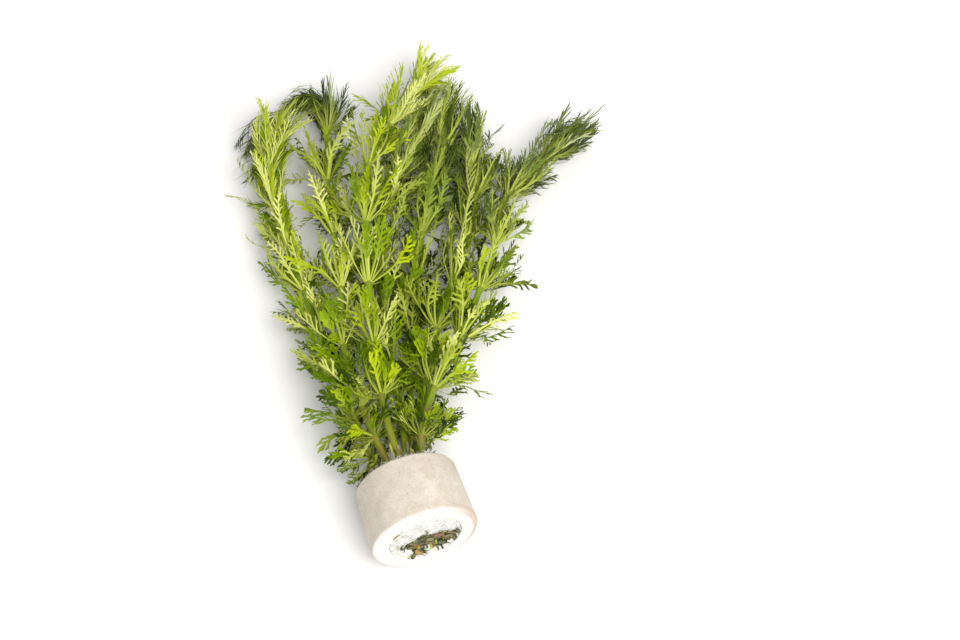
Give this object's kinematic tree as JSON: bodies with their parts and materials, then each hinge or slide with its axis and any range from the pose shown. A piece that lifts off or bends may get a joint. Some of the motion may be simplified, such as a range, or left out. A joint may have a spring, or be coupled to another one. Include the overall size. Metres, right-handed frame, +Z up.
{
  "type": "ambulia water-plant bunch",
  "caption": "Lying bunch of cut water-plant stems with whorls of fine feathery leaves, packed with white wool in a short ceramic ring.",
  "frame": {"origin": "centre of the base of the bunch's bounding box, on the surface it lies on", "axes": "+Z up; +Y from the ring towards the shoot tips, along the bunch; +X to the right as seen from the ring"},
  "size_m": [0.1256, 0.1978, 0.0374],
  "materials": {
    "ceramic_ring": "matte",
    "filter_wool": "matte",
    "stem": "satin",
    "leaf_whorl": "satin"
  },
  "bodies": {
    "root": {"ceramic_ring": "ceramic_ring", "filter_wool": "filter_wool", "stem_1": "stem", "stem_2": "stem", "stem_3": "stem", "stem_4": "stem", "stem_5": "stem", "stem_6": "stem", "stem_7": "stem", "stem_1_whorl_1": "leaf_whorl", "stem_1_whorl_2": "leaf_whorl", "stem_1_whorl_3": "leaf_whorl", "stem_1_whorl_4": "leaf_whorl", "stem_1_whorl_5": "leaf_whorl", "stem_1_whorl_6": "leaf_whorl", "stem_1_whorl_7": "leaf_whorl", "stem_1_whorl_8": "leaf_whorl", "stem_2_whorl_1": "leaf_whorl", "stem_2_whorl_2": "leaf_whorl", "stem_2_whorl_3": "leaf_whorl", "stem_2_whorl_4": "leaf_whorl", "stem_2_whorl_5": "leaf_whorl", "stem_2_whorl_6": "leaf_whorl", "stem_2_whorl_7": "leaf_whorl", "stem_2_whorl_8": "leaf_whorl", "stem_3_whorl_1": "leaf_whorl", "stem_3_whorl_2": "leaf_whorl", "stem_3_whorl_3": "leaf_whorl", "stem_3_whorl_4": "leaf_whorl", "stem_3_whorl_5": "leaf_whorl", "stem_3_whorl_6": "leaf_whorl", "stem_3_whorl_7": "leaf_whorl", "stem_4_whorl_1": "leaf_whorl", "stem_4_whorl_2": "leaf_whorl", "stem_4_whorl_3": "leaf_whorl", "stem_4_whorl_4": "leaf_whorl", "stem_4_whorl_5": "leaf_whorl", "stem_4_whorl_6": "leaf_whorl", "stem_4_whorl_7": "leaf_whorl", "stem_5_whorl_1": "leaf_whorl", "stem_5_whorl_2": "leaf_whorl", "stem_5_whorl_3": "leaf_whorl", "stem_5_whorl_4": "leaf_whorl", "stem_5_whorl_5": "leaf_whorl", "stem_5_whorl_6": "leaf_whorl", "stem_5_whorl_7": "leaf_whorl", "stem_6_whorl_1": "leaf_whorl", "stem_6_whorl_2": "leaf_whorl", "stem_6_whorl_3": "leaf_whorl", "stem_6_whorl_4": "leaf_whorl", "stem_6_whorl_5": "leaf_whorl", "stem_6_whorl_6": "leaf_whorl", "stem_6_whorl_7": "leaf_whorl", "stem_7_whorl_1": "leaf_whorl", "stem_7_whorl_2": "leaf_whorl", "stem_7_whorl_3": "leaf_whorl", "stem_7_whorl_4": "leaf_whorl", "stem_7_whorl_5": "leaf_whorl", "stem_7_whorl_6": "leaf_whorl", "stem_7_whorl_7": "leaf_whorl"}
  },
  "joints": []
}
